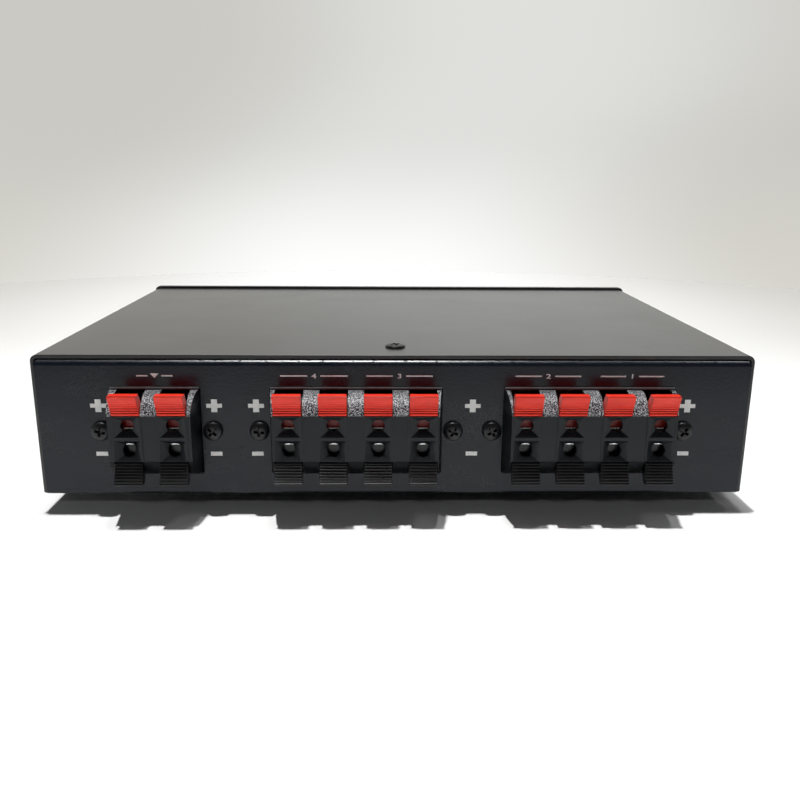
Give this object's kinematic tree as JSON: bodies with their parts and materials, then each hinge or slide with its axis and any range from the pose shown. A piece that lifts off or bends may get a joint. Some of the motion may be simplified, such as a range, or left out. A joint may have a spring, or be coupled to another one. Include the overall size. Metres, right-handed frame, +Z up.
{
  "type": "speaker selector switch",
  "caption": "Flat black metal box with spring-lever wire terminals on its rear panel and push buttons on its front plate.",
  "frame": {"origin": "on the surface that the feet stand on, at the middle of the whole product's width and depth", "axes": "+X to the right as seen from behind, -Y out of the rear terminal panel, +Y out of the button front, +Z up"},
  "size_m": [0.2292, 0.1762, 0.054],
  "materials": {
    "cover_paint": "satin black powder coat with a fine orange peel",
    "panel_paint": "semi-gloss black paint",
    "front_plate": "satin black",
    "foot_rubber": "matt black",
    "terminal_housing": "moulded black, fine texture on the shoulders",
    "red_lever": "moulded red",
    "black_lever": "moulded black",
    "contact_metal": "tinned spring metal",
    "rod_steel": "plain",
    "circuit_board": "phenolic laminate",
    "nylon": "natural white",
    "cement": "pale ceramic",
    "black_screw": "black zinc",
    "switch_shell": "moulded dark grey",
    "button_cap": "moulded black"
  },
  "bodies": {
    "case": {"board_posts": "nylon", "chassis_tray": "panel_paint", "contacts_input": "contact_metal", "contacts_left": "contact_metal", "contacts_right": "contact_metal", "cover_screw": "black_screw", "face_plate": "front_plate", "foot_1": "foot_rubber", "foot_2": "foot_rubber", "foot_3": "foot_rubber", "foot_4": "foot_rubber", "hinge_rods_input": "rod_steel", "hinge_rods_left": "rod_steel", "hinge_rods_right": "rod_steel", "main_board": "circuit_board", "protection_resistors": "cement", "switch_1": "switch_shell", "switch_2": "switch_shell", "switch_3": "switch_shell", "switch_4": "switch_shell", "switch_protect": "switch_shell", "terminal_block_input": "terminal_housing", "terminal_block_left": "terminal_housing", "terminal_block_right": "terminal_housing", "terminal_screws": "black_screw", "top_cover": "cover_paint"},
    "lever_input_a_red": {"lever_input_a_red": "red_lever"},
    "lever_input_a_black": {"lever_input_a_black": "black_lever"},
    "lever_input_b_red": {"lever_input_b_red": "red_lever"},
    "lever_input_b_black": {"lever_input_b_black": "black_lever"},
    "lever_4a_red": {"lever_4a_red": "red_lever"},
    "lever_4a_black": {"lever_4a_black": "black_lever"},
    "lever_4b_red": {"lever_4b_red": "red_lever"},
    "lever_4b_black": {"lever_4b_black": "black_lever"},
    "lever_3a_red": {"lever_3a_red": "red_lever"},
    "lever_3a_black": {"lever_3a_black": "black_lever"},
    "lever_3b_red": {"lever_3b_red": "red_lever"},
    "lever_3b_black": {"lever_3b_black": "black_lever"},
    "lever_2a_red": {"lever_2a_red": "red_lever"},
    "lever_2a_black": {"lever_2a_black": "black_lever"},
    "lever_2b_red": {"lever_2b_red": "red_lever"},
    "lever_2b_black": {"lever_2b_black": "black_lever"},
    "lever_1a_red": {"lever_1a_red": "red_lever"},
    "lever_1a_black": {"lever_1a_black": "black_lever"},
    "lever_1b_red": {"lever_1b_red": "red_lever"},
    "lever_1b_black": {"lever_1b_black": "black_lever"},
    "button_1_body": {"button_1": "button_cap", "plunger_1": "nylon"},
    "button_2_body": {"button_2": "button_cap", "plunger_2": "nylon"},
    "button_3_body": {"button_3": "button_cap", "plunger_3": "nylon"},
    "button_4_body": {"button_4": "button_cap", "plunger_4": "nylon"},
    "button_protect_body": {"button_protect": "button_cap", "plunger_protect": "nylon"}
  },
  "joints": [
    {"name": "press_input_a_red", "type": "hinge", "parent": "case", "child": "lever_input_a_red", "pos_m": [-0.0829, -0.0793, 0.0316], "axis": [-1, 0, 0], "range_deg": [0, 20], "stiffness_Nm_per_rad": 0.2},
    {"name": "press_input_a_black", "type": "hinge", "parent": "case", "child": "lever_input_a_black", "pos_m": [-0.0829, -0.0793, 0.0256], "axis": [1, 0, 0], "range_deg": [0, 20], "stiffness_Nm_per_rad": 0.2},
    {"name": "press_input_b_red", "type": "hinge", "parent": "case", "child": "lever_input_b_red", "pos_m": [-0.0689, -0.0793, 0.0316], "axis": [-1, 0, 0], "range_deg": [0, 20], "stiffness_Nm_per_rad": 0.2},
    {"name": "press_input_b_black", "type": "hinge", "parent": "case", "child": "lever_input_b_black", "pos_m": [-0.0689, -0.0793, 0.0256], "axis": [1, 0, 0], "range_deg": [0, 20], "stiffness_Nm_per_rad": 0.2},
    {"name": "press_4a_red", "type": "hinge", "parent": "case", "child": "lever_4a_red", "pos_m": [-0.0335, -0.0793, 0.0316], "axis": [-1, 0, 0], "range_deg": [0, 20], "stiffness_Nm_per_rad": 0.2},
    {"name": "press_4a_black", "type": "hinge", "parent": "case", "child": "lever_4a_black", "pos_m": [-0.0335, -0.0793, 0.0256], "axis": [1, 0, 0], "range_deg": [0, 20], "stiffness_Nm_per_rad": 0.2},
    {"name": "press_4b_red", "type": "hinge", "parent": "case", "child": "lever_4b_red", "pos_m": [-0.0195, -0.0793, 0.0316], "axis": [-1, 0, 0], "range_deg": [0, 20], "stiffness_Nm_per_rad": 0.2},
    {"name": "press_4b_black", "type": "hinge", "parent": "case", "child": "lever_4b_black", "pos_m": [-0.0195, -0.0793, 0.0256], "axis": [1, 0, 0], "range_deg": [0, 20], "stiffness_Nm_per_rad": 0.2},
    {"name": "press_3a_red", "type": "hinge", "parent": "case", "child": "lever_3a_red", "pos_m": [-0.0055, -0.0793, 0.0316], "axis": [-1, 0, 0], "range_deg": [0, 20], "stiffness_Nm_per_rad": 0.2},
    {"name": "press_3a_black", "type": "hinge", "parent": "case", "child": "lever_3a_black", "pos_m": [-0.0055, -0.0793, 0.0256], "axis": [1, 0, 0], "range_deg": [0, 20], "stiffness_Nm_per_rad": 0.2},
    {"name": "press_3b_red", "type": "hinge", "parent": "case", "child": "lever_3b_red", "pos_m": [0.0085, -0.0793, 0.0316], "axis": [-1, 0, 0], "range_deg": [0, 20], "stiffness_Nm_per_rad": 0.2},
    {"name": "press_3b_black", "type": "hinge", "parent": "case", "child": "lever_3b_black", "pos_m": [0.0085, -0.0793, 0.0256], "axis": [1, 0, 0], "range_deg": [0, 20], "stiffness_Nm_per_rad": 0.2},
    {"name": "press_2a_red", "type": "hinge", "parent": "case", "child": "lever_2a_red", "pos_m": [0.0408, -0.0793, 0.0316], "axis": [-1, 0, 0], "range_deg": [0, 20], "stiffness_Nm_per_rad": 0.2},
    {"name": "press_2a_black", "type": "hinge", "parent": "case", "child": "lever_2a_black", "pos_m": [0.0408, -0.0793, 0.0256], "axis": [1, 0, 0], "range_deg": [0, 20], "stiffness_Nm_per_rad": 0.2},
    {"name": "press_2b_red", "type": "hinge", "parent": "case", "child": "lever_2b_red", "pos_m": [0.0548, -0.0793, 0.0316], "axis": [-1, 0, 0], "range_deg": [0, 20], "stiffness_Nm_per_rad": 0.2},
    {"name": "press_2b_black", "type": "hinge", "parent": "case", "child": "lever_2b_black", "pos_m": [0.0548, -0.0793, 0.0256], "axis": [1, 0, 0], "range_deg": [0, 20], "stiffness_Nm_per_rad": 0.2},
    {"name": "press_1a_red", "type": "hinge", "parent": "case", "child": "lever_1a_red", "pos_m": [0.0688, -0.0793, 0.0316], "axis": [-1, 0, 0], "range_deg": [0, 20], "stiffness_Nm_per_rad": 0.2},
    {"name": "press_1a_black", "type": "hinge", "parent": "case", "child": "lever_1a_black", "pos_m": [0.0688, -0.0793, 0.0256], "axis": [1, 0, 0], "range_deg": [0, 20], "stiffness_Nm_per_rad": 0.2},
    {"name": "press_1b_red", "type": "hinge", "parent": "case", "child": "lever_1b_red", "pos_m": [0.0828, -0.0793, 0.0316], "axis": [-1, 0, 0], "range_deg": [0, 20], "stiffness_Nm_per_rad": 0.2},
    {"name": "press_1b_black", "type": "hinge", "parent": "case", "child": "lever_1b_black", "pos_m": [0.0828, -0.0793, 0.0256], "axis": [1, 0, 0], "range_deg": [0, 20], "stiffness_Nm_per_rad": 0.2},
    {"name": "push_1", "type": "slide", "parent": "case", "child": "button_1_body", "axis": [0, -1, 0], "range_m": [0, 0.0035], "stiffness_N_per_m": 1500},
    {"name": "push_2", "type": "slide", "parent": "case", "child": "button_2_body", "axis": [0, -1, 0], "range_m": [0, 0.0035], "stiffness_N_per_m": 1500},
    {"name": "push_3", "type": "slide", "parent": "case", "child": "button_3_body", "axis": [0, -1, 0], "range_m": [0, 0.0035], "stiffness_N_per_m": 1500},
    {"name": "push_4", "type": "slide", "parent": "case", "child": "button_4_body", "axis": [0, -1, 0], "range_m": [0, 0.0035], "stiffness_N_per_m": 1500},
    {"name": "push_protect", "type": "slide", "parent": "case", "child": "button_protect_body", "axis": [0, -1, 0], "range_m": [0, 0.0035], "stiffness_N_per_m": 1500}
  ]
}
